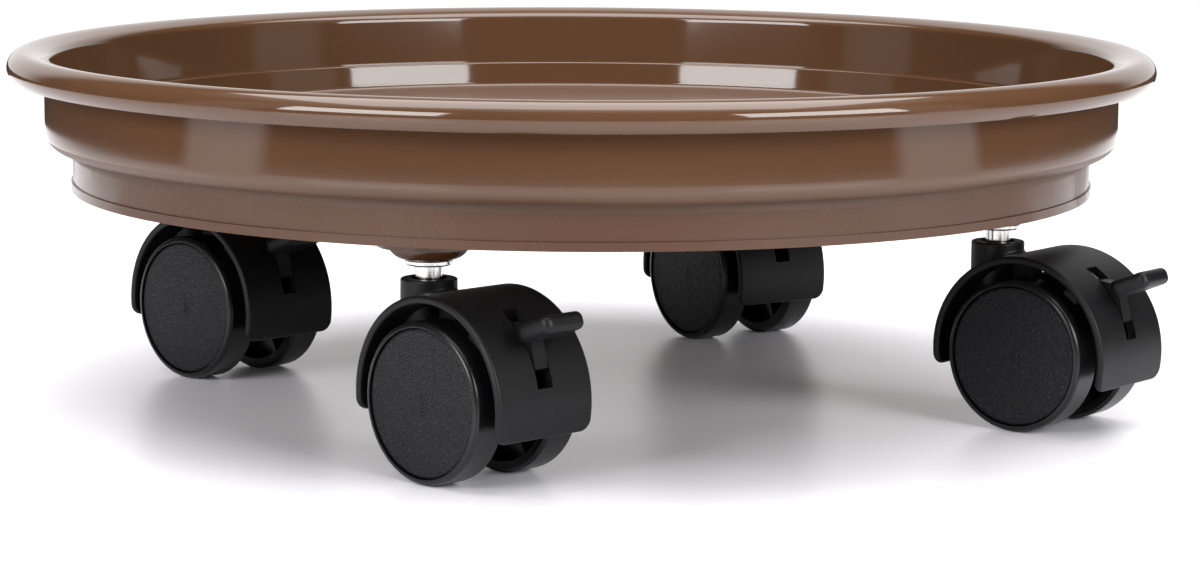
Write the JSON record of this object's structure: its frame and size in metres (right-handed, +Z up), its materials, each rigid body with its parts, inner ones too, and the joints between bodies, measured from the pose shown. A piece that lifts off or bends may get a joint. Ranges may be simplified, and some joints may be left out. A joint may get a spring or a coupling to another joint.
{
  "type": "plant caddy",
  "caption": "Round saucer-shaped plant caddy with a curled rim and stepped wall, on braked twin-wheel swivel casters, for rolling a potted plant about.",
  "frame": {"origin": "on the floor, under the centre of the tray", "axes": "+Z up, -Y towards the side shown in front, +X to its right"},
  "size_m": [0.3, 0.3, 0.0916],
  "materials": {
    "tray_plastic": "glossy brown moulded plastic",
    "bright_steel": "bright plated steel",
    "spring_steel": "plain spring steel",
    "pin_steel": "ground steel",
    "caster_plastic": "satin black nylon",
    "wheel_plastic": "glossy black nylon",
    "cap_plastic": "black plastic with a fine leather grain"
  },
  "bodies": {
    "tray": {"tray": "tray_plastic", "front_left_caster_stem": "bright_steel", "front_left_grip_ring": "spring_steel", "front_left_stem_clip": "spring_steel", "front_right_caster_stem": "bright_steel", "front_right_grip_ring": "spring_steel", "front_right_stem_clip": "spring_steel", "back_right_caster_stem": "bright_steel", "back_right_grip_ring": "spring_steel", "back_right_stem_clip": "spring_steel", "back_left_caster_stem": "bright_steel", "back_left_grip_ring": "spring_steel", "back_left_stem_clip": "spring_steel"},
    "front_left_caster": {"front_left_caster_housing": "caster_plastic", "front_left_axle": "pin_steel", "front_left_lever_pin": "pin_steel"},
    "front_left_left_wheel": {"front_left_left_wheel": "wheel_plastic", "front_left_left_wheel_cap": "cap_plastic"},
    "front_left_right_wheel": {"front_left_right_wheel": "wheel_plastic", "front_left_right_wheel_cap": "cap_plastic"},
    "front_left_brake": {"front_left_brake_lever": "caster_plastic"},
    "front_right_caster": {"front_right_caster_housing": "caster_plastic", "front_right_axle": "pin_steel", "front_right_lever_pin": "pin_steel"},
    "front_right_left_wheel": {"front_right_left_wheel": "wheel_plastic", "front_right_left_wheel_cap": "cap_plastic"},
    "front_right_right_wheel": {"front_right_right_wheel": "wheel_plastic", "front_right_right_wheel_cap": "cap_plastic"},
    "front_right_brake": {"front_right_brake_lever": "caster_plastic"},
    "back_right_caster": {"back_right_caster_housing": "caster_plastic", "back_right_axle": "pin_steel", "back_right_lever_pin": "pin_steel"},
    "back_right_left_wheel": {"back_right_left_wheel": "wheel_plastic", "back_right_left_wheel_cap": "cap_plastic"},
    "back_right_right_wheel": {"back_right_right_wheel": "wheel_plastic", "back_right_right_wheel_cap": "cap_plastic"},
    "back_right_brake": {"back_right_brake_lever": "caster_plastic"},
    "back_left_caster": {"back_left_caster_housing": "caster_plastic", "back_left_axle": "pin_steel", "back_left_lever_pin": "pin_steel"},
    "back_left_left_wheel": {"back_left_left_wheel": "wheel_plastic", "back_left_left_wheel_cap": "cap_plastic"},
    "back_left_right_wheel": {"back_left_right_wheel": "wheel_plastic", "back_left_right_wheel_cap": "cap_plastic"},
    "back_left_brake": {"back_left_brake_lever": "caster_plastic"}
  },
  "joints": [
    {"name": "front_left_swivel", "type": "hinge", "parent": "tray", "child": "front_left_caster", "pos_m": [-0.03591, -0.10672, 0.03], "axis": [0, 0, 1], "continuous": true},
    {"name": "front_left_left_wheel_spin", "type": "hinge", "parent": "front_left_caster", "child": "front_left_left_wheel", "pos_m": [-0.02519, -0.11763, 0.01925], "axis": [0.7133, 0.7009, 0], "continuous": true},
    {"name": "front_left_right_wheel_spin", "type": "hinge", "parent": "front_left_caster", "child": "front_left_right_wheel", "pos_m": [-0.02519, -0.11763, 0.01925], "axis": [0.7133, 0.7009, 0], "continuous": true},
    {"name": "front_left_brake_press", "type": "hinge", "parent": "front_left_caster", "child": "front_left_brake", "pos_m": [-0.02134, -0.12155, 0.03425], "axis": [0.7133, 0.7009, 0], "range_deg": [0, 10]},
    {"name": "front_right_swivel", "type": "hinge", "parent": "tray", "child": "front_right_caster", "pos_m": [0.10672, -0.03591, 0.03], "axis": [0, 0, 1], "continuous": true},
    {"name": "front_right_left_wheel_spin", "type": "hinge", "parent": "front_right_caster", "child": "front_right_left_wheel", "pos_m": [0.11868, -0.04546, 0.01925], "axis": [0.6239, 0.7815, 0], "continuous": true},
    {"name": "front_right_right_wheel_spin", "type": "hinge", "parent": "front_right_caster", "child": "front_right_right_wheel", "pos_m": [0.11868, -0.04546, 0.01925], "axis": [0.6239, 0.7815, 0], "continuous": true},
    {"name": "front_right_brake_press", "type": "hinge", "parent": "front_right_caster", "child": "front_right_brake", "pos_m": [0.12297, -0.04889, 0.03425], "axis": [0.6239, 0.7815, 0], "range_deg": [0, 10]},
    {"name": "back_right_swivel", "type": "hinge", "parent": "tray", "child": "back_right_caster", "pos_m": [0.03591, 0.10672, 0.03], "axis": [0, 0, 1], "continuous": true},
    {"name": "back_right_left_wheel_spin", "type": "hinge", "parent": "back_right_caster", "child": "back_right_left_wheel", "pos_m": [0.04436, 0.09396, 0.01925], "axis": [0.8339, 0.5519, 0], "continuous": true},
    {"name": "back_right_right_wheel_spin", "type": "hinge", "parent": "back_right_caster", "child": "back_right_right_wheel", "pos_m": [0.04436, 0.09396, 0.01925], "axis": [0.8339, 0.5519, 0], "continuous": true},
    {"name": "back_right_brake_press", "type": "hinge", "parent": "back_right_caster", "child": "back_right_brake", "pos_m": [0.0474, 0.08937, 0.03425], "axis": [0.8339, 0.5519, 0], "range_deg": [0, 10]},
    {"name": "back_left_swivel", "type": "hinge", "parent": "tray", "child": "back_left_caster", "pos_m": [-0.10672, 0.03591, 0.03], "axis": [0, 0, 1], "continuous": true},
    {"name": "back_left_left_wheel_spin", "type": "hinge", "parent": "back_left_caster", "child": "back_left_left_wheel", "pos_m": [-0.09569, 0.02531, 0.01925], "axis": [0.6934, 0.7206, 0], "continuous": true},
    {"name": "back_left_right_wheel_spin", "type": "hinge", "parent": "back_left_caster", "child": "back_left_right_wheel", "pos_m": [-0.09569, 0.02531, 0.01925], "axis": [0.6934, 0.7206, 0], "continuous": true},
    {"name": "back_left_brake_press", "type": "hinge", "parent": "back_left_caster", "child": "back_left_brake", "pos_m": [-0.09173, 0.02149, 0.03425], "axis": [0.6934, 0.7206, 0], "range_deg": [0, 10]}
  ]
}
